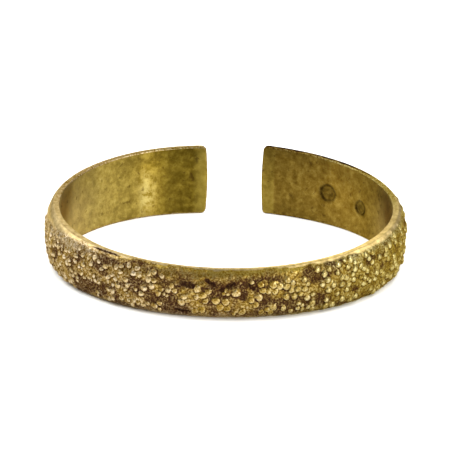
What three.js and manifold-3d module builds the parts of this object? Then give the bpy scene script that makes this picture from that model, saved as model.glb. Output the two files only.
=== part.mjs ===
// Open cuff bangle in cast brass, lying on its side. One solid.
//
// Frame: millimetres, +Z up. The origin is the centre of the oval on the plane that the lower rim rests on,
// +X points along the oval's long axis, and the gap between the two ends faces +Y.

import * as THREE from 'three';
import { mergeVertices } from 'three/addons/utils/BufferGeometryUtils.js';
import Module from 'manifold-3d';

// Oval of the inner wall, seen from above.
const INNER_HALF_WIDTH = 29.0;
const INNER_HALF_DEPTH = 24.65;
const LEFT_END_X = -3.6;
const RIGHT_END_X = 6.35;

// Hand-bent set of the two ends off the oval, outward positive, and the stretch of wall that it fades over.
const LEFT_END_SET = -0.7;
const RIGHT_END_SET = 0.4;
const SET_STRETCH = 16;

// Band height: the lower rim is flat, and the upper rim is a plane that rises from front to back.
const HEIGHT_FRONT = 8.65;
const HEIGHT_BACK = 13.2;

// Section: a flat inner wall, a flat land along each rim, and a domed outer face.
const LAND_THICKNESS = 1.2;
const CROWN_THICKNESS = 2.6;
const DOME_EXPONENT = 2.5;
const EDGE_SOFTENING = 0.2;

// Ends: rounded corners and an edge that bows out a little in the middle.
const END_CORNER_RADIUS = 1.3;
const END_BOW = 0.2;

// Two shallow plain round punch recesses in the inner wall, near the right end.
const PUNCHES = [
  { x: 18.7, z: 6.2, radius: 1.8, depth: 0.16 },
  { x: 24.35, z: 5.4, radius: 1.45, depth: 0.2 },
];
const PUNCH_SIDES = 28;
const PUNCH_LEAD_IN = 1.0;

// Mesh density.
const STEPS_ALONG = 96;
const END_STEPS = [0.25, 0.7, 1.4];
const EDGE_ROWS = [0, 0.08, 0.25, 0.6, 1.2];
const MIDDLE_ROWS = 4;

// ---- the oval -------------------------------------------------------------------------------------------

// Ellipse parameter of the point of the back half with the given x.
function backAngle(x) {
  return Math.acos(x / INNER_HALF_WIDTH);
}

const oval = new THREE.EllipseCurve(
  0, 0, INNER_HALF_WIDTH, INNER_HALF_DEPTH,
  backAngle(LEFT_END_X), backAngle(RIGHT_END_X) + 2 * Math.PI,
);
oval.arcLengthDivisions = 2000;
const STRIP_LENGTH = oval.getLength();

function endSet(along) {
  const left = Math.max(0, 1 - along / SET_STRETCH) ** 2;
  const right = Math.max(0, 1 - (STRIP_LENGTH - along) / SET_STRETCH) ** 2;
  return LEFT_END_SET * left + RIGHT_END_SET * right;
}

// Point of the inner wall and its outward normal, at a distance along the wall from the left end.
function wallFrame(along) {
  const point = oval.getPointAt(along / STRIP_LENGTH);
  const normal = new THREE.Vector2(
    point.x / INNER_HALF_WIDTH ** 2,
    point.y / INNER_HALF_DEPTH ** 2,
  ).normalize();
  point.addScaledVector(normal, endSet(along));
  return { point, normal };
}

function bandHeight(y) {
  const share = (y + INNER_HALF_DEPTH) / (2 * INNER_HALF_DEPTH);
  return THREE.MathUtils.lerp(HEIGHT_FRONT, HEIGHT_BACK, share);
}

// ---- the section ----------------------------------------------------------------------------------------

// Row heights from the lower rim to the upper one: close together at the edges, even between.
function rowHeights(height) {
  const edge = EDGE_ROWS[EDGE_ROWS.length - 1];
  const middle = [];
  for (let k = 1; k < MIDDLE_ROWS; k += 1) {
    middle.push(THREE.MathUtils.lerp(edge, height - edge, k / MIDDLE_ROWS));
  }
  const upper = EDGE_ROWS.map((d) => height - d).reverse();
  return [...EDGE_ROWS, ...middle, ...upper];
}

// How far a softened edge draws back at a distance from the rim: a quarter circle.
function edgeDrawback(distance, radius) {
  const short = Math.max(0, radius - distance);
  return radius - Math.sqrt(radius ** 2 - short ** 2);
}

function innerOffset(z, height) {
  return edgeDrawback(Math.min(z, height - z), EDGE_SOFTENING);
}

function outerOffset(z, height) {
  const fromMiddle = Math.abs((2 * z) / height - 1);
  const dome = (CROWN_THICKNESS - LAND_THICKNESS) * (1 - fromMiddle ** DOME_EXPONENT);
  return LAND_THICKNESS + dome - edgeDrawback(Math.min(z, height - z), EDGE_SOFTENING);
}

// How far the end of the strip draws back from its nominal place at a height.
function endDrawback(z, height) {
  const corner = edgeDrawback(Math.min(z, height - z), END_CORNER_RADIUS);
  const bow = END_BOW * ((2 * z) / height - 1) ** 2;
  return corner + bow;
}

// ---- the band -------------------------------------------------------------------------------------------

// Distances along the strip of all the sections, with a few closer ones at each end.
function stations() {
  const first = END_STEPS[END_STEPS.length - 1];
  const list = [0, ...END_STEPS];
  for (let i = 1; i <= STEPS_ALONG; i += 1) {
    list.push(THREE.MathUtils.lerp(first, STRIP_LENGTH - first, i / STEPS_ALONG));
  }
  const closing = END_STEPS.slice(0, -1).map((d) => STRIP_LENGTH - d).reverse();
  return [...list, ...closing, STRIP_LENGTH];
}

// A section row moved in from the ends: the drawback fades out over the end zone.
function drawnIn(along, drawback) {
  const zone = 2 * END_CORNER_RADIUS + END_BOW;
  const fromRight = STRIP_LENGTH - along;
  if (along < zone) return along + drawback * (1 - along / zone);
  if (fromRight < zone) return along - drawback * (1 - fromRight / zone);
  return along;
}

// The closed band: an inner sheet and an outer sheet of rows, joined by the two lands and the two ends.
function bandGeometry() {
  const places = stations();
  const rows = rowHeights(HEIGHT_FRONT).length;
  const positions = [];
  for (const along of places) {
    const height = bandHeight(wallFrame(along).point.y);
    const zs = rowHeights(height);
    for (const offsetAt of [innerOffset, outerOffset]) {
      for (const z of zs) {
        const { point, normal } = wallFrame(drawnIn(along, endDrawback(z, height)));
        const off = offsetAt(z, height);
        positions.push(point.x + normal.x * off, point.y + normal.y * off, z);
      }
    }
  }
  const inner = (i, k) => i * 2 * rows + k;
  const outer = (i, k) => i * 2 * rows + rows + k;
  const index = [];
  const quad = (a, b, c, d) => index.push(a, b, c, a, c, d);
  for (let i = 0; i < places.length - 1; i += 1) {
    for (let k = 0; k < rows - 1; k += 1) {
      quad(inner(i, k), inner(i, k + 1), inner(i + 1, k + 1), inner(i + 1, k));
      quad(outer(i, k), outer(i + 1, k), outer(i + 1, k + 1), outer(i, k + 1));
    }
    quad(inner(i, 0), inner(i + 1, 0), outer(i + 1, 0), outer(i, 0));
    const top = rows - 1;
    quad(inner(i, top), outer(i, top), outer(i + 1, top), inner(i + 1, top));
  }
  const last = places.length - 1;
  for (let k = 0; k < rows - 1; k += 1) {
    quad(inner(0, k), outer(0, k), outer(0, k + 1), inner(0, k + 1));
    quad(inner(last, k), inner(last, k + 1), outer(last, k + 1), outer(last, k));
  }
  const geometry = new THREE.BufferGeometry();
  geometry.setAttribute('position', new THREE.Float32BufferAttribute(positions, 3));
  geometry.setIndex(index);
  return geometry;
}

// ---- the punch recesses ---------------------------------------------------------------------------------

// A short cylinder square to the inner wall that reaches a little way into the metal.
function punchGeometry({ x, z, radius, depth }) {
  const y = INNER_HALF_DEPTH * Math.sin(backAngle(x));
  const normal = new THREE.Vector3(x / INNER_HALF_WIDTH ** 2, y / INNER_HALF_DEPTH ** 2, 0).normalize();
  const geometry = new THREE.CylinderGeometry(radius, radius, PUNCH_LEAD_IN + depth, PUNCH_SIDES);
  const turn = new THREE.Quaternion().setFromUnitVectors(new THREE.Vector3(0, 1, 0), normal);
  const centre = new THREE.Vector3(x, y, z).addScaledVector(normal, (depth - PUNCH_LEAD_IN) / 2);
  geometry.applyMatrix4(new THREE.Matrix4().compose(centre, turn, new THREE.Vector3(1, 1, 1)));
  return geometry;
}

const wasm = await Module();
wasm.setup();

function toSolid(geometry) {
  geometry.deleteAttribute('normal');
  geometry.deleteAttribute('uv');
  const merged = mergeVertices(geometry);
  return new wasm.Manifold(new wasm.Mesh({
    numProp: 3,
    vertProperties: new Float32Array(merged.attributes.position.array),
    triVerts: new Uint32Array(merged.index.array),
  }));
}

function toGeometry(solid) {
  const mesh = solid.getMesh();
  const geometry = new THREE.BufferGeometry();
  geometry.setAttribute('position', new THREE.BufferAttribute(new Float32Array(mesh.vertProperties), 3));
  geometry.setIndex(new THREE.BufferAttribute(new Uint32Array(mesh.triVerts), 1));
  geometry.computeVertexNormals();
  return geometry;
}

// ---- the bangle -----------------------------------------------------------------------------------------

const brass = new THREE.MeshStandardMaterial({ color: 0x9c8440, roughness: 0.38, metalness: 1.0 });

let solid = toSolid(bandGeometry());
for (const punch of PUNCHES) {
  solid = solid.subtract(toSolid(punchGeometry(punch)));
}

const cuff = new THREE.Mesh(toGeometry(solid), brass);
cuff.name = 'cuff';

const bangle = new THREE.Group();
bangle.name = 'bangle';
bangle.add(cuff);

export default bangle;
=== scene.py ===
from collections import namedtuple
from functools import lru_cache
import math

import bmesh
import bpy
import numpy as np
from mathutils import Matrix, Vector


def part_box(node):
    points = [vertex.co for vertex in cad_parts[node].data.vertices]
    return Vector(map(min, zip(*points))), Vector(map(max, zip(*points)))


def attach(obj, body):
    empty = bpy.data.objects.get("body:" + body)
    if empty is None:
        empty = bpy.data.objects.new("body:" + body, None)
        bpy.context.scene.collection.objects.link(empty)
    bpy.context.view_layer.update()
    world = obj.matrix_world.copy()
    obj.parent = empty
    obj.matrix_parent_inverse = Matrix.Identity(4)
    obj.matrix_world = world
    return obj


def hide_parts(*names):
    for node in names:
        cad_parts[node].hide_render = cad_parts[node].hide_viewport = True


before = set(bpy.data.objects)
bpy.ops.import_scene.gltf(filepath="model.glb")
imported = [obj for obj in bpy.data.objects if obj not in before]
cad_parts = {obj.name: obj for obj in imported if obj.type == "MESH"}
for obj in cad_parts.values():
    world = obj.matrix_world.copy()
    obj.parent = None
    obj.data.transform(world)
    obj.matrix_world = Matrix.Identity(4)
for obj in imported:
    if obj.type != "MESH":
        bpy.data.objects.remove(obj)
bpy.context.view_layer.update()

# An open cuff bangle in cast brass. A flat strip is cut, domed, tapered and rounded at its ends, its
# outside is grained, and it is bent round an oval mandrel. Lengths are millimetres until a mesh is bent,
# then metres. In the flat strip X runs along the band from the left end, -Y points outward through the
# metal and Z is up. Throughout, s is the distance along the strip from its left end, at is the distance
# from the front with the left side negative, and z or up is the height above the lower rim.

MM = 0.001
LOW, HIGH = (Vector(corner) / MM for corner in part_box("cuff"))

# ---- sizes --------------------------------------------------------------------------------------------

CAD_CROWN = 2.6                                    # thickness of the CAD solid at its crown
INNER_HALF_WIDTH = (HIGH.x - LOW.x) / 2 - CAD_CROWN
INNER_HALF_DEPTH = -LOW.y - CAD_CROWN
LEFT_END_X, RIGHT_END_X = -3.6, 6.35               # the two sides of the gap
LEFT_END_SET, RIGHT_END_SET = -0.7, 0.4            # how far the two ends are sprung off the oval
SET_STRETCH = 16.0                                 # the length over which they are
MANDREL_POINTS, WALL_POINTS = 1441, 961            # points of the oval, and of the wall once evenly spaced
HEIGHT_FRONT, HEIGHT_BACK = 8.65, 13.2             # how high the band is at its front and back

LAND = 1.32                                        # metal at the two rims
CROWN = 2.30                                       # metal at the crown, below the grain
DOME_EXPONENT = 3.0                                # 2 is a round dome, and more is a flatter one
SHOULDER, SHOULDER_RUN = 0.18, 0.45                # how far the outside falls away at its rims, and where
TUCK = 0.25                                        # how much thinner the metal is at the lower rim
FRONT_WEAR, FRONT_WEAR_RUN = 0.20, 1.2             # how much more the front has lost at its rims
SIDE_SWELL = 0.20                                  # how much fuller the two sides are
SIDE_HEIGHT, SIDE_HEIGHT_RUN = 10.9, 1.1           # the band's height there
LEFT_CORNER_RADIUS, RIGHT_CORNER_RADIUS = 1.0, 0.7
END_BOW, END_RUN = 0.35, 3.0                       # how far an end bows out, and the length that moves
EDGE_ROUND, EDGE_STEPS = 0.20, 2                   # radius of every edge, and the faces it is rounded with

COLUMN_BLOCKS, COLUMNS_A_BLOCK = 10, 100           # the strip is divided in two goes, at most 100 in one
OUTER_ROWS, INNER_ROWS, LAND_ROWS = 64, 8, 6
CLOSE_ROWS = 10                                    # rows in each inner one by a corner or a punch mark
BLANK_HEIGHT = 10.0

SEED = 7


# ---- small tools --------------------------------------------------------------------------------------

def deselect_all():
    if bpy.context.object and bpy.context.object.mode != "OBJECT":
        bpy.ops.object.mode_set(mode="OBJECT")
    bpy.ops.object.select_all(action="DESELECT")


def select_in_edit(obj, mode, keep):
    """Selects the edges or faces for which keep(element) is true. The object is in edit mode."""
    bm = bmesh.from_edit_mesh(obj.data)
    bpy.ops.mesh.select_mode(type=mode)
    bpy.ops.mesh.select_all(action="DESELECT")
    for element in bm.edges if mode == "EDGE" else bm.faces:
        if keep(element):
            element.select = True
    bm.select_flush_mode()
    bmesh.update_edit_mesh(obj.data)


def divide(obj, parts, keep):
    """Divides the edges for which keep(edge) is true into equal parts. The object is in edit mode."""
    select_in_edit(obj, "EDGE", keep)
    bpy.ops.mesh.subdivide(number_cuts=parts - 1)


def read_points(obj):
    co = np.empty(len(obj.data.vertices) * 3)
    obj.data.vertices.foreach_get("co", co)
    return co.reshape(-1, 3)


def write_points(obj, co):
    obj.data.vertices.foreach_set("co", np.ascontiguousarray(co, float).ravel())
    obj.data.update()


def write_value(obj, name, values):
    attribute = obj.data.attributes.new(name, "FLOAT", "POINT")
    attribute.data.foreach_set("value", np.ascontiguousarray(values, np.float32))


def ramp(start, full, value):
    """0 up to start, 1 from full on and a smooth change between. Start may be the greater of the two."""
    t = np.clip((value - start) / (full - start), 0, 1)
    return t * t * (3 - 2 * t)


def hump(middle, run, value):
    """1 at the middle, falling away smoothly on both sides."""
    return np.exp(-((value - middle) / run) ** 2)


# ---- the mandrel --------------------------------------------------------------------------------------

def walk(x, y):
    """Distance walked at each point of a line."""
    return np.r_[0, np.cumsum(np.hypot(np.diff(x), np.diff(y)))]


def mandrel():
    """The line of the inner wall from the left end round the front to the right end."""
    start = math.acos(LEFT_END_X / INNER_HALF_WIDTH)
    stop = math.acos(RIGHT_END_X / INNER_HALF_WIDTH) + 2 * math.pi
    angle = np.linspace(start, stop, MANDREL_POINTS)
    x, y = INNER_HALF_WIDTH * np.cos(angle), INNER_HALF_DEPTH * np.sin(angle)
    run = walk(x, y)
    even = np.linspace(0, run[-1], WALL_POINTS)
    x, y = np.interp(even, run, x), np.interp(even, run, y)
    outward_x, outward_y = x / INNER_HALF_WIDTH ** 2, y / INNER_HALF_DEPTH ** 2
    length = np.hypot(outward_x, outward_y)
    left = np.clip(1 - even / SET_STRETCH, 0, 1) ** 2
    right = np.clip(1 - (run[-1] - even) / SET_STRETCH, 0, 1) ** 2
    lean = LEFT_END_SET * left + RIGHT_END_SET * right
    x, y = x + outward_x / length * lean, y + outward_y / length * lean
    return walk(x, y), x, y


RUN, WALL_X, WALL_Y = mandrel()
STRIP = RUN[-1]
FRONT_HALF = slice(WALL_POINTS // 4, 3 * WALL_POINTS // 4)
FRONT_AT = float(np.interp(0.0, WALL_X[FRONT_HALF], RUN[FRONT_HALF]))     # where on the strip the front is


def band_height(s):
    y = np.interp(s, RUN, WALL_Y)
    return HEIGHT_FRONT + (HEIGHT_BACK - HEIGHT_FRONT) * (y + INNER_HALF_DEPTH) / (2 * INNER_HALF_DEPTH)


def bend_stretch(s, off):
    """How much longer the strip gets at a distance off the inner wall once it is bent."""
    x, y = np.interp(s, RUN, WALL_X), np.interp(s, RUN, WALL_Y)
    a, b = INNER_HALF_WIDTH, INNER_HALF_DEPTH
    radius = (a * b) ** 2 * ((x / a ** 2) ** 2 + (y / b ** 2) ** 2) ** 1.5
    return 1 + off / radius


def mandrel_curve():
    curve = bpy.data.curves.new("mandrel", "CURVE")
    curve.dimensions = "2D"
    spline = curve.splines.new("POLY")
    spline.points.add(len(RUN) - 1)
    for point, x, y in zip(spline.points, WALL_X, WALL_Y):
        point.co = (x, y, 0, 1)
    obj = bpy.data.objects.new("mandrel", curve)
    bpy.context.scene.collection.objects.link(obj)
    return obj


def bend(obj, curve):
    """Bends a strip round the mandrel and brings it to metres, with its place in its mesh."""
    deselect_all()
    obj.select_set(True)
    bpy.context.view_layer.objects.active = obj
    modifier = obj.modifiers.new("bend", "CURVE")
    modifier.object = curve
    modifier.deform_axis = "POS_X"
    bpy.ops.object.modifier_apply(modifier=modifier.name)
    obj.data.transform(Matrix.Scale(MM, 4))
    obj.data.update()
    bpy.ops.object.shade_smooth()


# ---- the section --------------------------------------------------------------------------------------

def dome(up, height):
    """Metal outside the flat land at a height on the band, falling away at the shoulders."""
    share = np.clip(up / height, 0, 1)
    rim = np.minimum(share, 1 - share) * height
    swell = (CROWN - LAND) * (1 - np.abs(2 * share - 1) ** DOME_EXPONENT)
    swell += 4 * SIDE_SWELL * share * (1 - share) * hump(SIDE_HEIGHT, SIDE_HEIGHT_RUN, height)
    lost = SHOULDER + FRONT_WEAR * ramp(HEIGHT_FRONT + FRONT_WEAR_RUN, HEIGHT_FRONT, height)
    return swell - lost * hump(0, SHOULDER_RUN, rim) - TUCK * (1 - share) ** 2


def outer_point(s, up):
    """Offset from the inner wall and outward direction (off, up) of the domed outside."""
    height, small = band_height(s), 0.05
    slope = (dome(up + small, height) - dome(up - small, height)) / (2 * small)
    size = np.hypot(1, slope)
    return LAND + dome(up, height), 1 / size, -slope / size


# ---- unevenness ---------------------------------------------------------------------------------------

# Smooth noises that break up the surfaces and the edges of marks. cell is the usual width of a patch in mm.
NOISES = {
    # name: (seed, cell, strength)
    "bunches": (51, 2.4, 1.0),
    "small_bunches": (52, 1.1, 0.5),
    "strip_edge": (11, 2.2, 0.36),
    "fine_strip_edge": (12, 0.8, 0.24),
    "lumps": (23, 0.62, 0.060),
    "wide_lumps": (24, 1.3, 0.050),
    "grit": (21, 0.40, 0.070),
    "fine_grit": (22, 0.27, 0.050),
    "folds": (25, 0.28, 1.0),
    "wall_waves": (31, 3.0, 0.025),
    "punch_brown": (33, 0.45, 0.5),
    "torn_oxide": (34, 0.8, 1.0),
    "oxide_gaps": (37, 2.4, 1.0),
    "high_clouds": (35, 1.6, 0.6),
    "bare_clouds": (36, 0.9, 0.5),
    "filed_edge": (32, 1.6, 0.25),
}
LATTICE = 256
FOLD_STRETCH = 6                                   # how many times longer than high a casting fold is


@lru_cache(maxsize=None)
def noise_table(seed):
    return np.random.default_rng(seed).uniform(-1, 1, (LATTICE, LATTICE))


def noise(name, s, z):
    """Smooth noise from -strength to strength on a lattice of cells."""
    seed, cell, strength = NOISES[name]
    table = noise_table(seed)
    u, v = s / cell, z / cell
    i, j = np.floor(u).astype(int), np.floor(v).astype(int)
    fu, fv = u - i, v - j
    fu, fv = fu * fu * (3 - 2 * fu), fv * fv * (3 - 2 * fv)
    a, b = table[i % LATTICE, j % LATTICE], table[(i + 1) % LATTICE, j % LATTICE]
    c, d = table[i % LATTICE, (j + 1) % LATTICE], table[(i + 1) % LATTICE, (j + 1) % LATTICE]
    return strength * ((a * (1 - fu) + b * fu) * (1 - fv) + (c * (1 - fu) + d * fu) * fv)


def bunching(s, z):
    """Above 0 where the grains gather and below 0 where the ground stays open."""
    return noise("bunches", s, z) + noise("small_bunches", s, z) + 0.12


def wander(s, z):
    """How far the edge of a smooth strip strays."""
    return noise("strip_edge", s, z) + noise("fine_strip_edge", s, z)


# ---- the grained face ---------------------------------------------------------------------------------

# How the worn, grained face changes along the band:
#   bare_top  height of the smooth strip under the upper rim
#   rubbed    how far down from the upper rim the metal is rubbed bright
#   bare_low  height of the smooth strip over the lower rim
#   grain     usual diameter of a grain
#   flat      0 for a round grain to 1 for one worn flat
#   tall      a grain's height as a share of its diameter
#   ragged    how uneven a grain's outline is
#   brown     how much oxide the ground between them keeps
#   ground    how worn that ground is
COLUMNS = ("at", "bare_top", "rubbed", "bare_low", "grain", "flat", "tall", "ragged", "brown", "ground")
FACE_ZONES = [
    (-82, 1.0, 0.7, 0.4, 0.94, 0.10, 0.30, 0.14, 0.60, 0.58),
    (-50, 2.4, 2.2, 0.4, 0.94, 0.00, 0.16, 0.16, 0.45, 0.69),
    (-40, 2.2, 1.9, 0.4, 0.94, 0.00, 0.20, 0.18, 0.62, 0.69),
    (-33, 1.5, 0.9, 0.5, 0.94, 0.00, 0.26, 0.20, 0.80, 0.67),
    (-26, 0.8, 0.2, 0.6, 0.96, 0.00, 0.28, 0.20, 0.90, 0.62),
    (-16, 0.5, 0.0, 0.8, 1.00, 0.10, 0.27, 0.18, 0.90, 0.59),
    (-9, 1.1, 0.0, 0.9, 1.14, 0.45, 0.21, 0.16, 0.85, 0.58),
    (-5, 1.8, 0.0, 0.9, 1.24, 0.65, 0.17, 0.15, 0.90, 0.57),
    (0, 1.8, 0.0, 0.8, 1.30, 0.80, 0.15, 0.14, 0.90, 0.56),
    (8, 1.4, 0.0, 0.8, 1.22, 0.60, 0.18, 0.12, 0.85, 0.55),
    (12, 0.7, 0.1, 0.7, 1.18, 0.20, 0.25, 0.10, 0.75, 0.53),
    (18, 0.5, 0.4, 0.5, 1.15, 0.00, 0.28, 0.08, 0.55, 0.51),
    (34, 0.5, 0.5, 0.4, 1.13, 0.00, 0.23, 0.08, 0.26, 0.54),
    (50, 0.6, 0.5, 0.4, 1.06, 0.00, 0.15, 0.10, 0.22, 0.64),
    (80, 0.6, 0.4, 0.4, 0.94, 0.10, 0.18, 0.14, 0.60, 0.60),
]
FACE = dict(zip(COLUMNS, np.array(FACE_ZONES, float).T))


def face(name, s):
    return np.interp(s - FRONT_AT, FACE["at"], FACE[name])


# Stretches of the band that differ, as distances from the front. 99 is past the strip's ends.
STRETCHES = {
    # name: (starts, full, full until, ended)
    "left_side": (-99, -98, -28, -18),
    "right_front": (12, 22, 98, 99),
    "right_side": (24, 34, 98, 99),
    "front_middle": (-24, -6, 6, 24),
    "front_half": (-48, -36, 36, 48),
    "gilt_rim": (-2, 10, 26, 38),
    "olive_patch": (-24, -13, 12, 20),
    "olive_ground": (-18, -8, 8, 14),
    "brown_wall": (30, 50, 98, 99),
    "left_end": (-99, -98, -66, -60),
}


def stretch(name, at):
    """1 on a stretch of the band and 0 away from it."""
    start, full, full_until, end = STRETCHES[name]
    return ramp(start, full, at) * ramp(end, full_until, at)


# Casting slits and sunk, crusted hollows. dark runs to 1 for the darkest.
HOLLOWS = [
    # at, up, length, width, depth, lean in degrees, dark
    (-6.5, 1.35, 2.6, 0.24, 0.28, -3, 1.0),
    (-20.4, 9.06, 5.4, 0.13, 0.12, -3, 1.0),
    (-14.3, 8.60, 7.4, 0.16, 0.12, 1.6, 0.5),
    (-24.0, 1.6, 2.2, 0.28, 0.15, 55, 0.8),
    (-22.6, 1.9, 1.6, 0.26, 0.13, 55, 0.8),
    (-5.8, 6.2, 2.6, 0.65, 0.14, -8, 0.9),
    (-2.2, 6.7, 2.2, 0.36, 0.20, -35, 1.0),
    (0.9, 6.4, 1.8, 0.42, 0.20, 28, 1.0),
    (-0.5, 5.6, 0.9, 0.30, 0.14, 60, 1.0),
    (4.0, 6.1, 2.2, 0.40, 0.14, -35, 0.9),
    (2.9, 4.6, 2.0, 0.60, 0.10, 80, 0.8),
    (14.5, 6.4, 2.0, 0.60, 0.12, 10, 0.7),
    (22.0, 3.1, 2.2, 0.50, 0.13, -40, 0.5),
]


def hollows(s, z):
    """Depth of the slits and hollows, and how dark they are."""
    depth, dark = np.zeros_like(s), np.zeros_like(s)
    for at, up, length, width, deep, lean, darkness in HOLLOWS:
        ds, dz = s - FRONT_AT - at, z - up
        c, k = math.cos(math.radians(lean)), math.sin(math.radians(lean))
        across, alongside = -ds * k + dz * c, ds * c + dz * k
        shape = np.exp(-(across / width) ** 2 - (2 * alongside / length) ** 4)
        depth += deep * shape
        dark = np.maximum(dark, darkness * ramp(0.15, 0.65, shape))
    return depth, dark


# The grains are set in goes: clusters of full grains first, then lesser ones in what is left bare.
GRAIN_GOES = [
    # clear space and smallest size as shares of a grain, share of the usual size, least bunching, tries
    (1.70, 0.85, 1.00, -0.30, 3200),
    (1.45, 0.80, 0.90, -0.35, 900),
    (1.50, 0.80, 0.60, -0.70, 160),
]
GRAIN_SQUEEZE = 0.76                               # how near two grains may come, as a share of touching
LARGEST = 1.15                                     # the largest grain, as a share of the usual one
END_MARGIN = 0.8                                   # metal without grains at the two ends
CELL = 1.8                                         # side of a square in which near grains are looked up
# The middle of a grain and six places round it, where the ground is tested for hollows.
SPOKES = np.array([[0, 1, 0.5, -0.5, -1, -0.5, 0.5], [0, 0, 0.87, 0.87, 0, -0.87, -0.87]])

Grain = namedtuple("Grain", "s z size tall flat")


def scatter_grains():
    """Places the grains in clusters."""
    rng = np.random.default_rng(SEED)
    placed = []
    grid = {}

    def crowded(s, z, reach):
        i, j = int(s / CELL), int(z / CELL)
        near = (grain for di in (-1, 0, 1) for dj in (-1, 0, 1) for grain in grid.get((i + di, j + dj), ()))
        return any(math.hypot(s - grain.s, z - grain.z) < 0.5 * (reach + grain.size) for grain in near)

    def try_place(s, z, size):
        if not END_MARGIN < s < STRIP - END_MARGIN:
            return False
        top = float(band_height(s)) - face("bare_top", s) - size / 3
        if z > top + wander(s, z) or z < face("bare_low", s) + size / 3:
            return False
        if hollows(s + 0.4 * size * SPOKES[0], z + 0.4 * size * SPOKES[1])[1].max() > 0.4:
            return False
        if crowded(s, z, size * (2 * GRAIN_SQUEEZE - 1)):
            return False
        flat = float(np.clip(face("flat", s) + rng.normal(0, 0.15), 0, 1))
        tall = size * float(face("tall", s)) * rng.uniform(0.75, 1.15)
        grain = Grain(s, z, size, tall, flat)
        placed.append(grain)
        grid.setdefault((int(s / CELL), int(z / CELL)), []).append(grain)
        return True

    for clear, smallest, share, gather, tries in GRAIN_GOES:
        for _ in range(tries):
            s = rng.uniform(0, STRIP)
            z = rng.uniform(0, 1) * float(band_height(s))
            usual = float(face("grain", s)) * share
            size = usual * rng.uniform(smallest, LARGEST)
            if bunching(s, z) < gather:
                continue
            if crowded(s, z, size * clear) or not try_place(s, z, size):
                continue
            # Up to five more gather round it.
            turn = rng.uniform(0, 2 * math.pi)
            crowd = 0.24 + 0.36 * float(face("flat", s))
            for k in range(rng.binomial(5, crowd)):
                other = usual * rng.uniform(smallest - 0.1, LARGEST)
                angle = turn + k * rng.uniform(0.95, 1.35)
                gap = 0.5 * (size + other) * rng.uniform(0.84, 1.04)
                try_place(s + gap * math.cos(angle), z + gap * math.sin(angle), other)
    return placed


GRAINS = scatter_grains()
MOUND = 0.24                                       # the most that the metal between grains can swell up
FOOT_SHADE_WIDTH = 0.15                                  # width of the painted shade in the crease round a grain's foot


def mounds(s, z):
    """Height of the metal that swells up round the grains, and a painted shade in the crease round each
    grain's foot, strongest below the grain.
    """
    total, foot_shade = np.zeros_like(s), np.zeros_like(s)
    order = np.argsort(s)
    sorted_s = s[order]
    for grain in GRAINS:
        reach = 1.6 * grain.size
        first, last = np.searchsorted(sorted_s, (grain.s - reach, grain.s + reach))
        near = order[first:last]
        near = near[np.abs(z[near] - grain.z) < reach]
        distance = np.hypot((s[near] - grain.s) * bend_stretch(grain.s, CROWN), z[near] - grain.z)
        total[near] += 0.17 * grain.size * hump(0, 0.62 * grain.size, distance)
        # The painted shade is strongest below a grain, on the side where its shadow falls.
        shade_below = 0.55 + 0.45 * (grain.z - z[near]) / np.maximum(distance, 0.1)
        foot_shade[near] = np.maximum(foot_shade[near], shade_below * hump(0.53 * grain.size, FOOT_SHADE_WIDTH, distance))
    return MOUND * np.tanh(total / MOUND), foot_shade


def cast_face(s, z):
    """Relief of the outside over its smooth dome, its wear with painted shade and painted light, and how
    crusted, smooth and rubbed bright it is.
    """
    at, from_top = s - FRONT_AT, band_height(s) - z
    stray = wander(s, z)

    # The face is rough between the two smooth strips by its rims.
    top = ramp(0.1, 1.0, (from_top + stray) / (face("bare_top", s) + 0.2))
    low = ramp(0.1, 1.0, (z + 0.4 * stray) / (face("bare_low", s) + 0.1))
    rough = np.minimum(top, low)
    bright = ramp(1.20, 0.60, (from_top + 0.4 * stray) / (face("rubbed", s) + 0.05))

    swell, foot_shade = mounds(s, z)
    depth, dark = hollows(s, z)
    brown = face("brown", s)
    lumps = noise("lumps", s, z) + noise("wide_lumps", s, z)
    grit = (noise("grit", s, z) + noise("fine_grit", s, z)) * (0.5 + 0.6 * brown) * (1 - 0.7 * bright)
    fold = noise("folds", s / FOLD_STRETCH, z) * (1 - low)
    # The painted foot shade also sinks a shallow crease round each grain.
    relief = rough * (swell + lumps + grit - 0.05 * foot_shade) - depth + (1 - rough) * 0.35 * grit + 0.10 * fold

    # Crust is left on low, open ground, but hardly where the rubbed strips of the two sides end.
    open_ground = ramp(-0.25, 0.35, 1.3 * (brown - 0.55) - bunching(s, z))
    crust = open_ground * ramp(0.28, 0.13, relief + 0.3 * grit)
    strip_end = ramp(1.8, 0.2, from_top - face("bare_top", s))
    left_strip_end = strip_end * stretch("left_side", at)
    right_strip_end = strip_end * stretch("right_side", at)
    clean = 1 - 0.8 * np.maximum(left_strip_end, right_strip_end)
    crust = np.maximum(crust * rough * (1 - bright) * clean, 1.5 * dark)

    # Wear takes the high places and the ground by the rims. Round the foot of each grain, most of all below
    # it, the metal is darkened as painted shade.
    upper_rim = 0.25 * ramp(2.0, 0.6, from_top) * stretch("right_front", at)
    # Over the lower rim the ground is lighter: partly wear, partly painted light standing in for the bright
    # floor it faces.
    lower_rim_wear_and_light = 0.14 * ramp(1.7, 0.5, z) * (1 - stretch("right_front", at))
    wear_and_light = face("ground", s) + upper_rim + 0.24 * left_strip_end + lower_rim_wear_and_light + 1.2 * (relief - 0.12)
    wear_and_light -= (0.35 + 0.20 * face("flat", s)) * foot_shade * rough
    # The smooth strip over the lower rim is lighter still: partly wear, partly painted light from the
    # floor.
    wear_and_light = wear_and_light * rough + (0.72 + 0.35 * (1 - low) + 0.6 * fold) * (1 - rough)
    return relief, np.clip(wear_and_light, 0, 1), crust, (1 - rough) * (1 - bright), bright


# ---- the band -----------------------------------------------------------------------------------------

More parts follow.
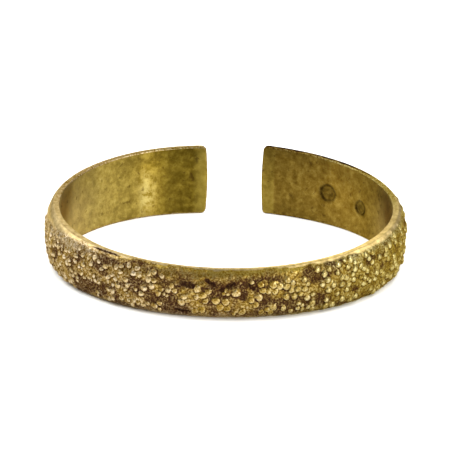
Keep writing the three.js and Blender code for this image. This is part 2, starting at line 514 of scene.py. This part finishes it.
# Plain round punch recesses on the inside of the right arm. fill is how brown the floor of one is left.
PUNCHES = [
    # across, up, radius, depth, fill
    (18.7, 6.2, 1.75, 0.16, 0.50),
    (24.35, 5.4, 1.4, 0.20, 0.65),
]

PUNCH_SIDES, PUNCH_OVER = 0.6, 0.8                 # how far beside and over them the wall is cut finely
CORNER_REACH = 2.5                                 # how far from the ends it is too, for the round corners
UNDIVIDED = 0.3                                    # a shorter edge is in a rounding or has been cut already


def punch_places():
    right = slice(WALL_POINTS // 2, None)
    back = WALL_Y[right] > 0
    x, run = WALL_X[right][back], RUN[right][back]
    for across, up, radius, depth, fill in PUNCHES:
        yield float(np.interp(-across, -x, run)), up, radius, depth, fill


def cut_blank():
    """A flat strip with rounded edges, divided finely outside and coarsely inside."""
    deselect_all()
    bpy.ops.mesh.primitive_cube_add(
        size=1, location=(STRIP / 2, -LAND / 2, BLANK_HEIGHT / 2), scale=(STRIP, LAND, BLANK_HEIGHT))
    band = bpy.context.object
    band.name = band.data.name = "cuff_band"
    bpy.ops.object.transform_apply(location=True, rotation=False, scale=True)
    bpy.ops.object.mode_set(mode="EDIT")
    bpy.ops.mesh.select_all(action="SELECT")
    bpy.ops.mesh.bevel(offset=EDGE_ROUND, segments=EDGE_STEPS, affect="EDGES")

    places = list(punch_places())
    first = min(s - radius for s, _, radius, _, _ in places) - PUNCH_SIDES
    last = max(s + radius for s, _, radius, _, _ in places) + PUNCH_SIDES
    lowest = min(up - radius for _, up, radius, _, _ in places) - PUNCH_OVER
    highest = max(up + radius for _, up, radius, _, _ in places) + PUNCH_OVER

    def runs(edge, axis):
        way = edge.verts[1].co - edge.verts[0].co
        return abs(way[axis]) > 0.9 * way.length and way.length > UNDIVIDED

    def outer(edge):
        return edge.verts[0].co.y < -LAND / 2

    def near_corner(edge):
        middle = (edge.verts[0].co + edge.verts[1].co) / 2
        from_end = STRIP / 2 - abs(middle.x - STRIP / 2)
        from_rim = BLANK_HEIGHT / 2 - abs(middle.z - BLANK_HEIGHT / 2)
        return from_end < CORNER_REACH and from_rim < BLANK_HEIGHT / INNER_ROWS

    def near_punch(edge):
        a, b = (vert.co for vert in edge.verts)
        if a.y < -EDGE_ROUND / 20 or not first < a.x < last:
            return False
        scale = BLANK_HEIGHT / float(band_height(a.x))
        return min(a.z, b.z) < highest * scale and max(a.z, b.z) > lowest * scale

    block = STRIP / COLUMN_BLOCKS - 2 * EDGE_ROUND
    for parts in (COLUMN_BLOCKS, COLUMNS_A_BLOCK):
        divide(band, parts, lambda e: runs(e, 0) and e.calc_length() > block)
    divide(band, OUTER_ROWS, lambda e: runs(e, 2) and outer(e))
    divide(band, INNER_ROWS, lambda e: runs(e, 2) and not outer(e) and e.calc_length() > BLANK_HEIGHT / 2)
    divide(band, CLOSE_ROWS, lambda e: runs(e, 2) and not outer(e) and near_corner(e))
    divide(band, LAND_ROWS, lambda e: runs(e, 1))
    divide(band, CLOSE_ROWS, lambda e: runs(e, 2) and near_punch(e))

    band.data.materials.append(oxidised_cast_brass())
    band.data.materials.append(scraped_brass())
    select_in_edit(band, "FACE", lambda f: f.normal.y > 0.99)
    band.active_material_index = 1
    bpy.ops.object.material_slot_assign()
    bpy.ops.object.mode_set(mode="OBJECT")
    return band


def end_drawback(up, height, radius):
    """How far an end is drawn back from its farthest point, for round corners and a slight bow."""
    near = np.minimum(up, height - up)
    short = np.clip(radius - near, 0, radius)
    corner = radius - np.sqrt(radius ** 2 - short ** 2)
    return corner + END_BOW * (2 * up / height - 1) ** 2


def punch_marks(s, up):
    """How deep the punch recesses are, and how brown their floors and the rings round them are left."""
    sunk, brown = np.zeros_like(s), np.zeros_like(s)
    mottle = 1 + noise("punch_brown", s, up)
    for at, z, radius, deep, fill in punch_places():
        distance = np.hypot(s - at, up - z) / radius
        floor = ramp(1.0, 0.80, distance)
        sunk = np.maximum(sunk, deep * floor * (0.75 + 0.25 * distance ** 2))
        heavy = 0.8 + 0.25 * (s - at) / radius
        ring = heavy * mottle ** 0.5 * hump(0.84, 0.22, distance)
        brown = np.maximum(brown, np.maximum(ring, fill * mottle * floor))
    return sunk, brown


# Points of the strip. share is how far up the band each is and depth how far out in the metal, 0 to 1.
Points = namedtuple("Points", "s at up share depth")


def form_band(band):
    """Domes, tapers, rounds and grains the flat strip. No tool makes the relief, so it is worked out."""
    co = read_points(band)
    s, depth, share = co[:, 0].copy(), -co[:, 1] / LAND, co[:, 2] / BLANK_HEIGHT
    height = band_height(s)
    up = share * height
    outside, inside = ramp(0.70, 0.97, depth), ramp(0.2, 0.02, depth)
    off = depth * (LAND + dome(up, height))

    relief, wear_and_light, crust, smooth, bright = cast_face(s, up)
    _, n_off, n_up = outer_point(s, up)
    fade = outside * ramp(0.0, END_MARGIN, np.minimum(s, STRIP - s))
    off += relief * fade * n_off
    up = up + relief * fade * n_up

    sunk, punched = punch_marks(s, up)
    off += (sunk + noise("wall_waves", s, up)) * inside

    left = end_drawback(up, height, LEFT_CORNER_RADIUS) * np.clip(1 - s / END_RUN, 0, 1)
    right = end_drawback(up, height, RIGHT_CORNER_RADIUS) * np.clip(1 - (STRIP - s) / END_RUN, 0, 1)
    write_points(band, np.c_[s + left - right, -off, up])

    points = Points(s, s - FRONT_AT, up, share, depth)
    wear_face(band, points, outside, fade, wear_and_light, crust, smooth, bright)
    wear_wall(band, points, inside, punched)


# ---- the wear of the band -----------------------------------------------------------------------------

ARM_OXIDE = 55.5                                   # where the oxide on the right arm's upper rim begins
BARE_HIGHLIGHT_AT, BARE_HIGHLIGHT_RUN = -69.0, 1.6                     # where the left arm is rubbed to bare metal inside, under a painted highlight

# Where the wrist has rubbed the inside pale, how far along that runs and how strongly it shows.
PALE_SIDES = [
    # at, run, strength
    (-44.0, 8.0, 0.8),
    (-50.0, 14.0, 0.18),
    (45.0, 5.0, 0.6),
]


def yellow_arm(at):
    """How yellow the worn metal is: fully on the right side, not on the left, and half so by the gap."""
    return ramp(-5, 25, at) * (1 - 0.5 * ramp(58, 80, at)) + 0.5 * ramp(-58, -80, at)


def rim_oxide(p):
    """Ragged oxide left over the outer part of the upper rim on the right arm, towards the back."""
    torn = noise("torn_oxide", p.s, p.up)
    broken = 0.3 + 0.7 * ramp(-0.6, 0.0, noise("oxide_gaps", p.s, p.up))
    begun = ramp(ARM_OXIDE - 1.0, ARM_OXIDE + 1.0, p.at + 1.5 * torn)
    on_rim = ramp(0.92, 0.98, p.share + 0.04 * torn)
    reach = 0.26 - 0.10 * ramp(ARM_OXIDE + 8, ARM_OXIDE + 18, p.at) + 0.20 * torn
    return begun * on_rim * broken * ramp(reach, reach + 0.12, p.depth)


def wear_face(band, p, outside, fade, wear_and_light, crust, smooth, bright):
    """Writes the wear with its painted shade and light, and how crusted, rubbed, gilt, olive and yellow the
    outside and the rims are.
    """
    oxide = rim_oxide(p)
    front_half = stretch("front_half", p.at)
    rims = 0.60 + 0.20 * front_half - 0.22 * ramp(ARM_OXIDE + 6, ARM_OXIDE + 16, p.at)
    write_value(band, "wear_and_light", (wear_and_light * fade + rims * (1 - fade)) * (1 - oxide))
    write_value(band, "crust", np.maximum(crust * fade, 2 * oxide))

    # Handling has polished the inner part of the upper rim round the front half, to gold at its right.
    width = 0.75 - 0.30 * stretch("front_middle", p.at)
    handled = 0.9 * ramp(width + 0.25, width, p.depth) * front_half
    clear = (1 - oxide) * (1 - np.clip(crust * fade, 0, 1))
    write_value(band, "rubbed", np.maximum(bright * fade, handled) * ramp(0.4, 0.6, p.share) * clear)
    write_value(band, "gilt", stretch("gilt_rim", p.at))

    # The smooth patch at the front is olive, and so is the worn ground below it.
    patch = stretch("olive_patch", p.at) * ramp(0.2, 0.4, p.share)
    ground = 0.7 * stretch("olive_ground", p.at) * ramp(0.35, 0.55, wear_and_light)
    write_value(band, "olive", np.maximum(smooth, ground) * patch * outside)
    write_value(band, "yellow", yellow_arm(p.at))


def wear_wall(band, p, inside, punched):
    """Writes how stained, filed, pale and bare the inside is, with a painted highlight in the bare place
    and painted shade above it, and how far along it is.
    """
    high = 0.30 * ramp(0.45, 1.0, p.share) * stretch("brown_wall", p.at)
    high = high * (1 + noise("high_clouds", p.s, p.up))
    # Above the bare place the wall is darkened towards the upper rim: painted shade that makes the lamp's
    # streak fade at the top.
    shade_over_highlight = 0.45 * ramp(0.76, 0.92, p.share) * hump(BARE_HIGHLIGHT_AT, 2.4, p.at)
    stain_and_shade = np.maximum(punched, np.maximum(high, shade_over_highlight))
    write_value(band, "stain_and_shade", np.clip(stain_and_shade, 0, 1) * inside)

    # Both ends were filed after casting, the right one to a sharper line.
    left_end = ramp(3.0, 0.5, p.s + noise("filed_edge", p.s, p.up))
    right_end = ramp(2.7, 2.3, STRIP - p.s) * (0.65 - 0.45 * p.share)
    write_value(band, "filed", left_end + right_end)

    pale = sum(strength * hump(middle, run, p.at) for middle, run, strength in PALE_SIDES)
    write_value(band, "pale", pale * (1 - 0.4 * ramp(0.4, 1.0, p.share)))
    # The bare place is paler and smoother where the lamp's streak falls: partly rubbed metal, partly a
    # painted highlight.
    bare_and_highlight = 0.8 * hump(BARE_HIGHLIGHT_AT, BARE_HIGHLIGHT_RUN, p.at) * hump(0.36, 0.30, p.share)
    bare_and_highlight = bare_and_highlight * (1 + noise("bare_clouds", p.s, p.up))
    write_value(band, "bare_and_highlight", bare_and_highlight - 1.3 * ramp(0.76, 0.90, p.share) * stretch("left_end", p.at))
    write_value(band, "along", p.at)


# ---- the grains ---------------------------------------------------------------------------------------

SUNK = 0.22                                        # share of a grain's height below the metal round it
SKIRT = 0.2                                        # how far its sides go on down, inside the metal
SKIRT_SPREAD = 1.02                                # how much wider than the dome they are
OUTSIDE_STRETCH = 1.08                             # roughly how much longer the outside gets in the bend


def one_grain():
    """A closed dome of unit radius with a short skirt below: rings of a ball, cut at its widest."""
    deselect_all()
    bpy.ops.mesh.primitive_uv_sphere_add(segments=12, ring_count=8, radius=1, location=(0, 0, 0))
    grain = bpy.context.object
    bpy.ops.object.mode_set(mode="EDIT")
    bpy.ops.mesh.select_all(action="SELECT")
    bpy.ops.mesh.bisect(plane_co=(0, 0, 0.001), plane_no=(0, 0, 1), clear_inner=True)
    select_in_edit(grain, "EDGE", lambda e: e.is_boundary)
    bpy.ops.mesh.extrude_region_move(TRANSFORM_OT_translate={"value": (0, 0, -1)})
    bpy.ops.mesh.edge_face_add()
    bpy.ops.mesh.select_all(action="SELECT")
    bpy.ops.mesh.normals_make_consistent(inside=False)
    bpy.ops.object.mode_set(mode="OBJECT")
    return grain


def foot_levels():
    """Relief of the band under each grain, as the mean of eight places round its foot."""
    around = np.linspace(0, 2 * math.pi, 8, endpoint=False)
    s, z, size = np.array(GRAINS).T[:3, :, None]
    ring_s = s + 0.5 * size * np.cos(around) / OUTSIDE_STRETCH
    ring_z = z + 0.5 * size * np.sin(around)
    return cast_face(ring_s.ravel(), ring_z.ravel())[0].reshape(ring_s.shape).mean(axis=1)


def shape_grain(grain, level, unit, rng):
    """The points of one grain in its place on the strip, and its wear with a painted highlight at each
    point.
    """
    reach = np.hypot(unit[:, 0], unit[:, 1])
    bearing = np.arctan2(unit[:, 1], unit[:, 0])
    skirt = unit[:, 2] < 0
    inner = reach < 0.95

    phase = rng.uniform(0, 2 * math.pi, 3)
    ragged = float(face("ragged", grain.s))
    outline = 1 + ragged * rng.uniform(0.3, 1.0) * np.cos(2 * bearing + phase[0])
    outline += 0.7 * ragged * rng.uniform(0.3, 1.0) * np.cos(3 * bearing + phase[1])

    # A worn grain is flatter, with a shallow dish, and all of them lean and are a little lumpy.
    power = 2.0 + 1.2 * grain.flat
    rise = (1 - np.clip(reach, 0, 1) ** power) ** (1 / power)
    rise -= 0.12 * grain.flat * hump(0, 0.45, reach)
    rise += 0.10 * reach * np.cos(bearing + phase[2]) * inner
    rise += rng.normal(0, 0.02 + 0.2 * ragged, len(unit)) * inner

    lift = level + (rise - SUNK) * grain.tall / (1 - SUNK) - SKIRT * skirt
    spread = np.where(skirt, SKIRT_SPREAD, 1.0) * outline * 0.5 * grain.size
    s = grain.s + unit[:, 0] * spread / bend_stretch(grain.s, CROWN)
    z = grain.z + unit[:, 1] * spread
    off, n_off, n_up = outer_point(s, z)

    # The dish of a worn grain keeps its oxide. The lower side of each grain, towards the strip's right end,
    # is painted lighter: a painted highlight.
    wear_and_light = 0.46 + 0.38 * np.clip(rise, 0, 1) - 0.36 * grain.flat * ramp(0.9, 0.35, reach)
    wear_and_light += rng.normal(0, 0.05) + (0.12 + 0.22 * grain.flat) * reach * np.cos(bearing + 0.9)
    return np.c_[s, -(off + lift * n_off), z + lift * n_up], np.where(skirt, 0.3, wear_and_light)


def grow_grains():
    """All the grains as one joined mesh on the flat strip, each with its own outline, height, and wear with
    a painted highlight on one side.
    """
    pattern = one_grain()
    unit = read_points(pattern)
    faces = [tuple(polygon.vertices) for polygon in pattern.data.polygons]
    bpy.data.objects.remove(pattern)
    rng = np.random.default_rng(SEED + 1)

    points, polygons, wear_and_light = [], [], []
    for number, (grain, level) in enumerate(zip(GRAINS, foot_levels())):
        grain_points, grain_wear_and_light = shape_grain(grain, level, unit, rng)
        points.append(grain_points)
        wear_and_light.append(grain_wear_and_light)
        polygons += [tuple(corner + number * len(unit) for corner in corners) for corners in faces]
    mesh = bpy.data.meshes.new("cuff_grain")
    mesh.from_pydata(np.concatenate(points).tolist(), [], polygons)
    grains = bpy.data.objects.new("cuff_grain", mesh)
    bpy.context.scene.collection.objects.link(grains)

    at = np.array([grain.s for grain in GRAINS]) - FRONT_AT
    flat = np.array([grain.flat for grain in GRAINS])
    write_value(grains, "wear_and_light", np.concatenate(wear_and_light))
    write_value(grains, "crust", np.zeros(len(mesh.vertices)))
    write_value(grains, "olive", np.repeat(0.7 * flat, len(unit)))
    write_value(grains, "yellow", np.repeat(yellow_arm(at), len(unit)))
    return grains


# ---- materials ----------------------------------------------------------------------------------------

def linear(code):
    """An sRGB hex colour as linear RGBA."""
    parts = [int(code[i:i + 2], 16) / 255 for i in (1, 3, 5)]
    return tuple(c / 12.92 if c <= 0.04045 else ((c + 0.055) / 1.055) ** 2.4 for c in parts) + (1.0,)


def node(tree, kind, inputs=None, stops=(), **settings):
    """Adds a node with its settings and links. An input is a number, a hex colour, a node or a socket."""
    made = tree.nodes.new(kind)
    for name, value in settings.items():
        setattr(made, name, value)
    for key, value in (inputs or {}).items():
        open_inputs = [socket for socket in made.inputs if socket.enabled]
        socket = open_inputs[key] if isinstance(key, int) else next(i for i in open_inputs if i.name == key)
        if isinstance(value, bpy.types.Node):
            value = next(output for output in value.outputs if output.enabled)
        if isinstance(value, bpy.types.NodeSocket):
            tree.links.new(value, socket)
        else:
            socket.default_value = linear(value) if isinstance(value, str) else value
    if stops:
        elements = made.color_ramp.elements
        while len(elements) < len(stops):
            elements.new(0.5)
        for element, (position, colour) in zip(elements, stops):
            element.position, element.color = position, linear(colour)
    return made


def new_material(name):
    material = bpy.data.materials.new(name)
    material.use_nodes = True
    material.node_tree.nodes.clear()
    return material, material.node_tree


def oxidised_cast_brass():
    """Brass cast from a grained pattern, browned, then worn by handling. It shows pale yellow metal on each
    high place, olive and brown on the slopes, and a dull purple-brown crust where nothing rubs it."""
    material, tree = new_material("oxidised_cast_brass")
    place = node(tree, "ShaderNodeTexCoord").outputs["Object"]
    wear_and_light, crust, olive, rubbed, gilt, yellow = (
        node(tree, "ShaderNodeAttribute", attribute_name=name).outputs["Fac"]
        for name in ("wear_and_light", "crust", "olive", "rubbed", "gilt", "yellow"))

    # Casting grit is about 0.15 mm, and is drawn at 0.3 mm, so that it shows. The browning is mottled in
    # patches about 1.1 mm across.
    grit = node(tree, "ShaderNodeTexNoise",
                {"Vector": place, "Scale": 1 / (0.30 * MM), "Detail": 2.0, "Roughness": 0.6})
    mottle = node(tree, "ShaderNodeTexNoise",
                  {"Vector": place, "Scale": 1 / (1.1 * MM), "Detail": 3.0, "Roughness": 0.6})
    # The wear_and_light attribute holds the wear, and also painted shade round the grains' feet, a painted
    # highlight on one side of each grain and painted light over the lower rim.
    level = node(tree, "ShaderNodeMath", {0: grit, 1: 1.5, 2: wear_and_light}, operation="MULTIPLY_ADD")
    level = node(tree, "ShaderNodeMath", {0: mottle, 1: 0.5, 2: level}, operation="MULTIPLY_ADD")
    level = node(tree, "ShaderNodeMath", {0: level, 1: 1.0}, operation="SUBTRACT")

    # From deep oxide to clean metal, with an olive run of its own for the smooth patch and the flat grains.
    metal = node(tree, "ShaderNodeValToRGB", {"Fac": level}, stops=[
        (0.00, "#331d03"), (0.25, "#604516"), (0.45, "#856b34"), (0.70, "#a48f66"), (1.00, "#cbb99a")])
    green = node(tree, "ShaderNodeValToRGB", {"Fac": level}, stops=[
        (0.20, "#543b0c"), (0.50, "#85681a"), (0.95, "#b89e4f")])
    colour = node(tree, "ShaderNodeMix", {"Factor": olive, "A": metal, "B": green}, data_type="RGBA")

    # The crust is patchy, and almost black in the slits and hollows, where it is more than full.
    patch = node(tree, "ShaderNodeMapRange",
                 {"Value": grit, "From Min": 0.38, "From Max": 0.62, "To Min": 1.0, "To Max": 0.40})
    patch = node(tree, "ShaderNodeMath", {0: crust, 1: patch}, operation="MULTIPLY")
    colour = node(tree, "ShaderNodeMix", {"Factor": patch, "A": colour, "B": "#47291e"}, data_type="RGBA")
    deep = node(tree, "ShaderNodeMapRange",
                {"Value": crust, "From Min": 0.9, "From Max": 1.5, "To Min": 0.0, "To Max": 0.65})
    colour = node(tree, "ShaderNodeMix", {"Factor": deep, "A": colour, "B": "#29170a"}, data_type="RGBA")
    colour = node(tree, "ShaderNodeMix", {"Factor": yellow, "A": colour, "B": "#edf4cc"},
                  data_type="RGBA", blend_type="MULTIPLY")

    # A rubbed rim keeps faint brown clouds.
    polish = node(tree, "ShaderNodeValToRGB", {"Fac": mottle}, stops=[(0.35, "#a18c5e"), (0.60, "#c4af7e")])
    gold = node(tree, "ShaderNodeValToRGB", {"Fac": mottle}, stops=[(0.35, "#c6ac6c"), (0.60, "#ebd08e")])
    polish = node(tree, "ShaderNodeMix", {"Factor": gilt, "A": polish, "B": gold}, data_type="RGBA")
    colour = node(tree, "ShaderNodeMix", {"Factor": rubbed, "A": colour, "B": polish}, data_type="RGBA")

    metallic = node(tree, "ShaderNodeMapRange",
                    {"Value": level, "From Min": 0.1, "From Max": 0.5, "To Min": 0.85, "To Max": 1.0})
    rough = node(tree, "ShaderNodeMapRange",
                 {"Value": level, "From Min": 0.2, "From Max": 1.0, "To Min": 0.60, "To Max": 0.36})
    rough = node(tree, "ShaderNodeMath", {0: patch, 1: 0.3, 2: rough}, operation="MULTIPLY_ADD")
    strength = node(tree, "ShaderNodeMapRange", {"Value": rubbed, "To Min": 0.5, "To Max": 0.1})
    bump = node(tree, "ShaderNodeBump", {"Height": grit, "Strength": strength, "Distance": 0.12 * MM})
    shader = node(tree, "ShaderNodeBsdfPrincipled", {
        "Base Color": colour, "Metallic": metallic, "Roughness": rough, "Specular Tint": "#d0c09c",
        "Normal": bump})
    node(tree, "ShaderNodeOutputMaterial", {"Surface": shader})
    return material


def scraped_brass():
    """Brass scraped and rubbed smooth along the band, then browned in soft clouds. It shows an olive yellow
    with small pits, drawn into an upright streak where a lamp catches the scraping, with a painted
    highlight there."""
    material, tree = new_material("scraped_brass")
    place = node(tree, "ShaderNodeTexCoord").outputs["Object"]
    stained_and_shaded, pale, filed, bare_and_highlight, along = (
        node(tree, "ShaderNodeAttribute", attribute_name=name).outputs["Fac"]
        for name in ("stain_and_shade", "pale", "filed", "bare_and_highlight", "along"))

    # Clouds of browning are about 1.3 mm across, with finer ones in them, and pits are about 1 mm apart.
    cloud = node(tree, "ShaderNodeTexNoise",
                 {"Vector": place, "Scale": 1 / (1.3 * MM), "Detail": 8.0, "Roughness": 0.74})
    pits = node(tree, "ShaderNodeTexNoise",
                {"Vector": place, "Scale": 1 / (1.0 * MM), "Detail": 2.0, "Roughness": 0.5})

    # The left side is greener and lighter than the right, and the left end is darker than the rest of it.
    left = node(tree, "ShaderNodeValToRGB", {"Fac": cloud}, stops=[
        (0.36, "#79661c"), (0.46, "#8a752c"), (0.54, "#9c8738"), (0.66, "#b39e4d")])
    right = node(tree, "ShaderNodeValToRGB", {"Fac": cloud}, stops=[
        (0.36, "#664f15"), (0.46, "#785f22"), (0.54, "#846b2a"), (0.66, "#967e3b")])
    side = node(tree, "ShaderNodeMapRange", {"Value": along, "From Min": -10.0, "From Max": 20.0})
    colour = node(tree, "ShaderNodeMix", {"Factor": side, "A": left, "B": right}, data_type="RGBA")
    dark = node(tree, "ShaderNodeMapRange",
                {"Value": along, "From Min": -60.0, "From Max": -70.0, "To Min": 0.0, "To Max": 0.8})
    colour = node(tree, "ShaderNodeMix", {"Factor": dark, "A": colour, "B": "#b4ac70"},
                  data_type="RGBA", blend_type="MULTIPLY")

    # Over it come the filed ends, the pale sides, the bare place with its painted highlight, the pits, and
    # the brown stains with painted shade above that highlight.
    strip = node(tree, "ShaderNodeMath", {0: filed, 1: 0.8}, operation="MULTIPLY")
    fresh = node(tree, "ShaderNodeValToRGB", {"Fac": cloud}, stops=[(0.30, "#9a8432"), (0.70, "#b7a14c")])
    colour = node(tree, "ShaderNodeMix", {"Factor": strip, "A": colour, "B": fresh}, data_type="RGBA")
    paler = node(tree, "ShaderNodeMath", {0: pale, 1: 0.8}, operation="MULTIPLY")
    colour = node(tree, "ShaderNodeMix", {"Factor": paler, "A": colour, "B": "#e8d094"}, data_type="RGBA")
    # The bare place gets paler, greyer metal in clouds: a painted highlight where the streak falls.
    clean = node(tree, "ShaderNodeMapRange",
                 {"Value": cloud, "From Min": 0.40, "From Max": 0.52, "To Min": 0.0, "To Max": 0.9})
    clean = node(tree, "ShaderNodeMath", {0: clean, 1: bare_and_highlight}, operation="MULTIPLY", use_clamp=True)
    colour = node(tree, "ShaderNodeMix", {"Factor": clean, "A": colour, "B": "#938752"}, data_type="RGBA")
    pit = node(tree, "ShaderNodeMapRange",
               {"Value": pits, "From Min": 0.36, "From Max": 0.29, "To Min": 0.0, "To Max": 0.6})
    colour = node(tree, "ShaderNodeMix", {"Factor": pit, "A": colour, "B": "#4a3612"}, data_type="RGBA")
    # The stains include painted shade over the top of the streak.
    stain_and_shade = node(tree, "ShaderNodeMath", {0: stained_and_shaded, 1: 0.9}, operation="MULTIPLY")
    colour = node(tree, "ShaderNodeMix", {"Factor": stain_and_shade, "A": colour, "B": "#271a04"}, data_type="RGBA")

    rough = node(tree, "ShaderNodeMapRange",
                 {"Value": cloud, "From Min": 0.40, "From Max": 0.60, "To Min": 0.475, "To Max": 0.385})
    rough = node(tree, "ShaderNodeMath", {0: bare_and_highlight, 1: -0.08, 2: rough}, operation="MULTIPLY_ADD")
    scraping = node(tree, "ShaderNodeTangent", direction_type="RADIAL", axis="Z")
    bump = node(tree, "ShaderNodeBump", {"Height": cloud, "Strength": 0.10, "Distance": 0.25 * MM})
    shader = node(tree, "ShaderNodeBsdfPrincipled", {
        "Base Color": colour, "Metallic": 1.0, "Roughness": rough, "Specular Tint": "#f0deb0",
        "Anisotropic": 0.95, "Anisotropic Rotation": 0.25, "Tangent": scraping, "Normal": bump})
    node(tree, "ShaderNodeOutputMaterial", {"Surface": shader})
    return material


def matt_white_paper():
    """Matt white paper, pressed smooth. It shows no gloss."""
    material, tree = new_material("matt_white_paper")
    shader = node(tree, "ShaderNodeBsdfPrincipled", {"Base Color": "#f4f4f2", "Roughness": 0.9})
    node(tree, "ShaderNodeOutputMaterial", {"Surface": shader})
    return material


# ---- the studio ---------------------------------------------------------------------------------------

CAMERA_DISTANCE = 350.0
CAMERA_ELEVATION = math.radians(21.1)
CAMERA_ROLL = math.radians(0.953)
FOCAL_LENGTH, SENSOR = 159.5, 36.0
AIM_RIGHT, AIM_UP = -0.14, 2.24                    # how far right of and above the band's middle it aims


def place_camera():
    up = Vector((0, math.sin(CAMERA_ELEVATION), math.cos(CAMERA_ELEVATION)))
    back = Vector((0, -math.cos(CAMERA_ELEVATION), math.sin(CAMERA_ELEVATION)))
    middle = Vector((0, 0, HEIGHT_FRONT / 2))
    place = middle + back * CAMERA_DISTANCE
    aim = middle + Vector((AIM_RIGHT, 0, 0)) + up * AIM_UP
    camera = bpy.data.cameras.new("camera")
    camera.lens = FOCAL_LENGTH
    camera.sensor_width = SENSOR
    camera.clip_start = 0.01
    camera.clip_end = 20
    obj = bpy.data.objects.new("camera", camera)
    bpy.context.scene.collection.objects.link(obj)
    turn = (aim - place).to_track_quat("-Z", "Y").to_matrix().to_4x4()
    obj.matrix_world = Matrix.Translation(place * MM) @ turn @ Matrix.Rotation(CAMERA_ROLL, 4, "Z")
    bpy.context.scene.camera = obj


# Square soft boxes aimed at the bangle. Bearing is from the camera's side, to the right positive. Distance
# and size are metres, and power is watts.
SOFT_BOXES = [
    # name, bearing, elevation, distance, size, power
    ("key", 46.5, 18, 0.75, 0.14, 3.3),
    ("side", 80, 20, 0.8, 0.4, 0.6),
    ("fill_right", 100, 50, 0.8, 0.6, 2.8),
    ("fill_left", -105, 45, 0.8, 0.6, 5.0),
]


def soft_box(name, bearing, elevation, distance, size, power):
    a, e = math.radians(bearing), math.radians(elevation)
    place = Vector((math.sin(a) * math.cos(e), -math.cos(a) * math.cos(e), math.sin(e))) * distance
    light = bpy.data.lights.new(name, "AREA")
    light.shape = "SQUARE"
    light.size = size
    light.energy = power
    obj = bpy.data.objects.new(name, light)
    bpy.context.scene.collection.objects.link(obj)
    obj.matrix_world = Matrix.Translation(place) @ (-place).to_track_quat("-Z", "Y").to_matrix().to_4x4()
    return obj


def studio():
    deselect_all()
    bpy.ops.mesh.primitive_plane_add(size=4, location=(0, 0, 0))
    floor = bpy.context.object
    floor.name = "floor"
    floor.data.materials.append(matt_white_paper())
    world = bpy.data.worlds.new("studio")
    bpy.context.scene.world = world
    world.use_nodes = True
    background = world.node_tree.nodes["Background"]
    background.inputs["Color"].default_value = linear("#ffffff")
    background.inputs["Strength"].default_value = 0.22
    for row in SOFT_BOXES:
        soft_box(*row)
    # A wide light overhead brightens the floor only, and a low card behind shows only in the metal.
    soft_box("overhead", 0, 90, 1.0, 1.6, 24.0).visible_glossy = False
    soft_box("back_card", 180, 20, 0.9, 0.8, 3.8).visible_diffuse = False
    bpy.context.scene.view_settings.view_transform = "Standard"


# ---- assembly -----------------------------------------------------------------------------------------

place_camera()
studio()

oval = mandrel_curve()
cuff_band = cut_blank()
form_band(cuff_band)
bend(cuff_band, oval)

cuff_grain = grow_grains()
bend(cuff_grain, oval)
cuff_grain.data.materials.append(cuff_band.data.materials[0])
bpy.data.objects.remove(oval)

for piece in (cuff_band, cuff_grain):
    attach(piece, "root")
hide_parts("cuff")
